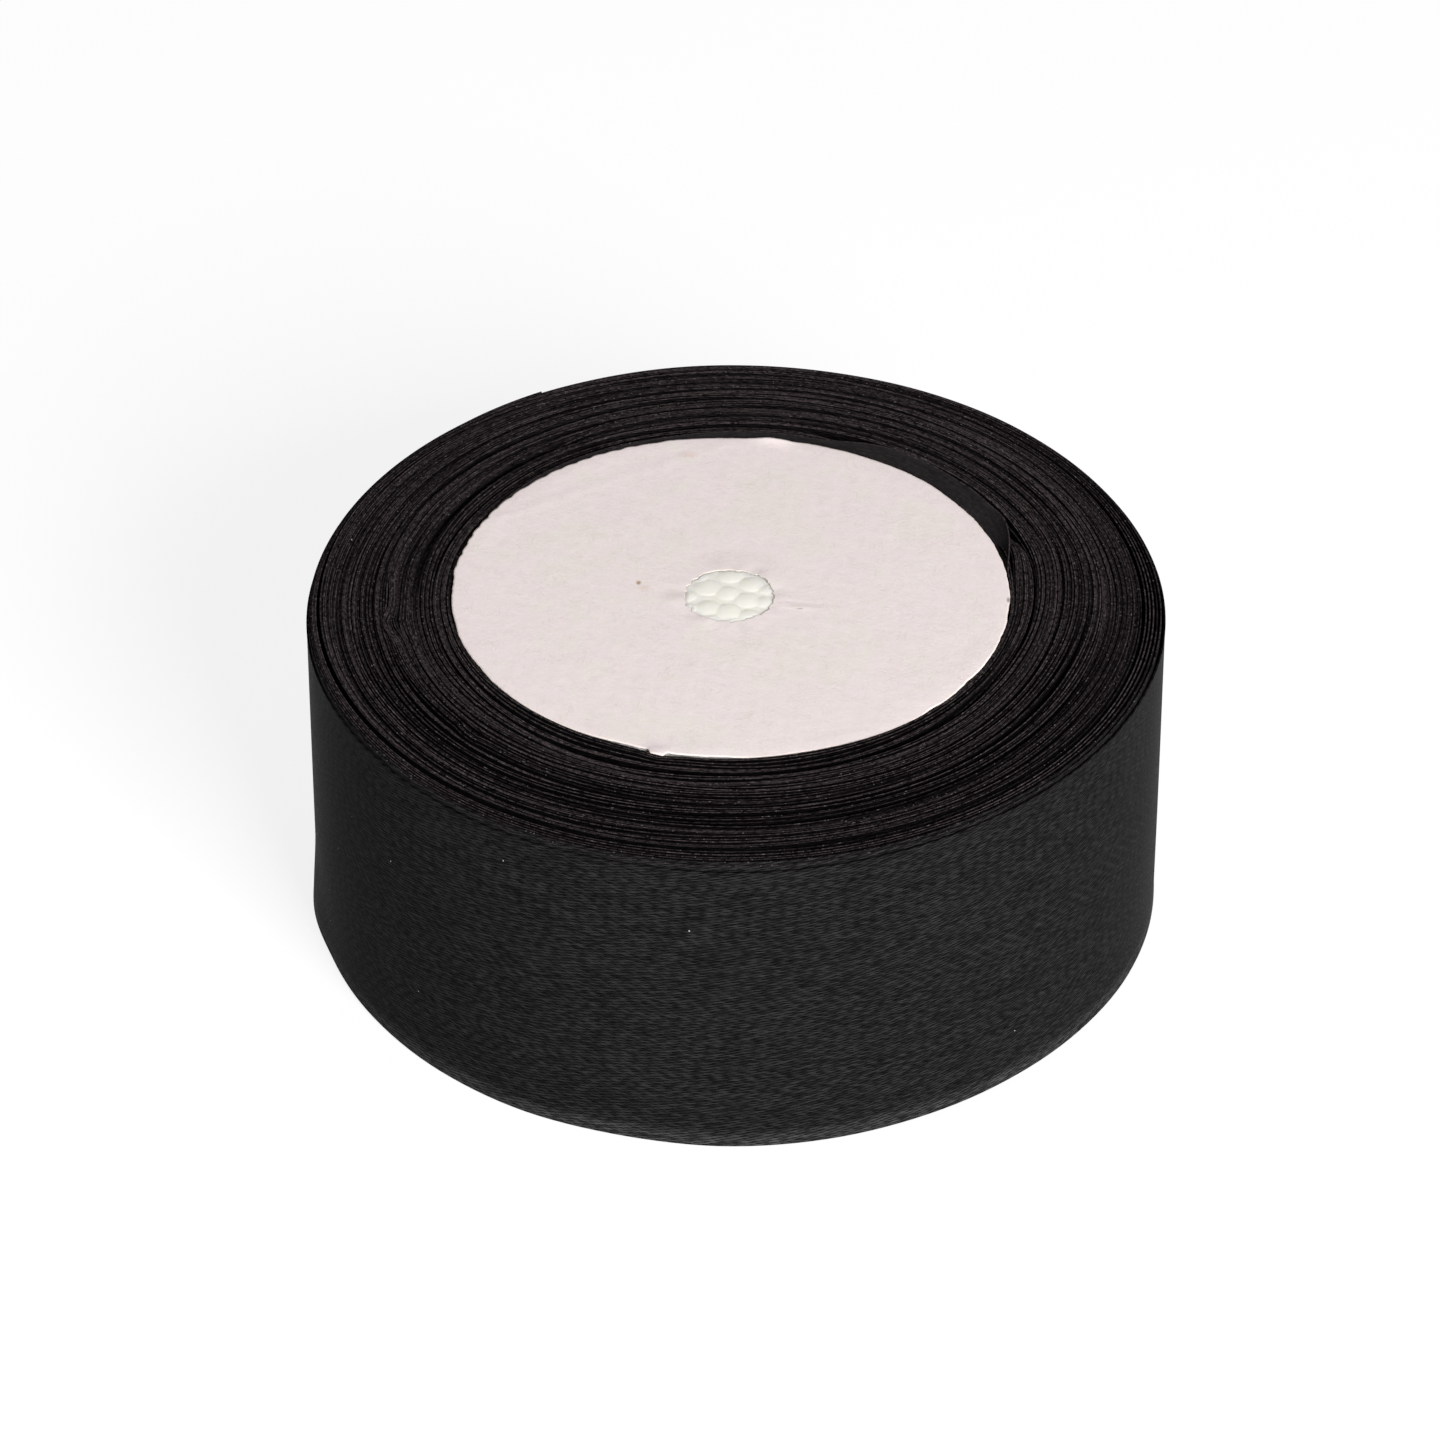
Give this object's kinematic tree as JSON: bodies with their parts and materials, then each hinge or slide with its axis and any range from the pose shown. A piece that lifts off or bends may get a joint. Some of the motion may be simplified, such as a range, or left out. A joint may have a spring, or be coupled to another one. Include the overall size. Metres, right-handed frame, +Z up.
{
  "type": "ribbon roll",
  "caption": "Roll of black satin ribbon wound on a round foam core with paper discs on its faces; the taped free end of the ribbon peels off the roll.",
  "frame": {"origin": "centre of the circle on which the roll stands, level with the lowest edge of the ribbon", "axes": "+Z up along the axis of the roll, -Y towards the front, +X to the right; the free end of the ribbon is at the back left"},
  "size_m": [0.097, 0.097, 0.0411],
  "materials": {
    "foam": "expanded polystyrene beads",
    "card": "uncoated recycled paper",
    "ribbon": "single-face satin weave",
    "double_sided_tape": "tissue tape",
    "clear_tape": "clear film"
  },
  "bodies": {
    "roll": {"foam_core": "foam", "upper_face_card": "card", "lower_face_card": "card", "core_start_tape": "double_sided_tape", "wound_turns": "ribbon", "slipped_outer_turns": "ribbon", "outer_wrap": "ribbon"},
    "free_end": {"ribbon_tail": "ribbon", "end_tape": "clear_tape"}
  },
  "joints": [
    {"name": "tail_peel", "type": "hinge", "parent": "roll", "child": "free_end", "pos_m": [-0.04192, 0.0242, 0], "axis": [0, 0, 1], "range_deg": [0, 110]}
  ]
}
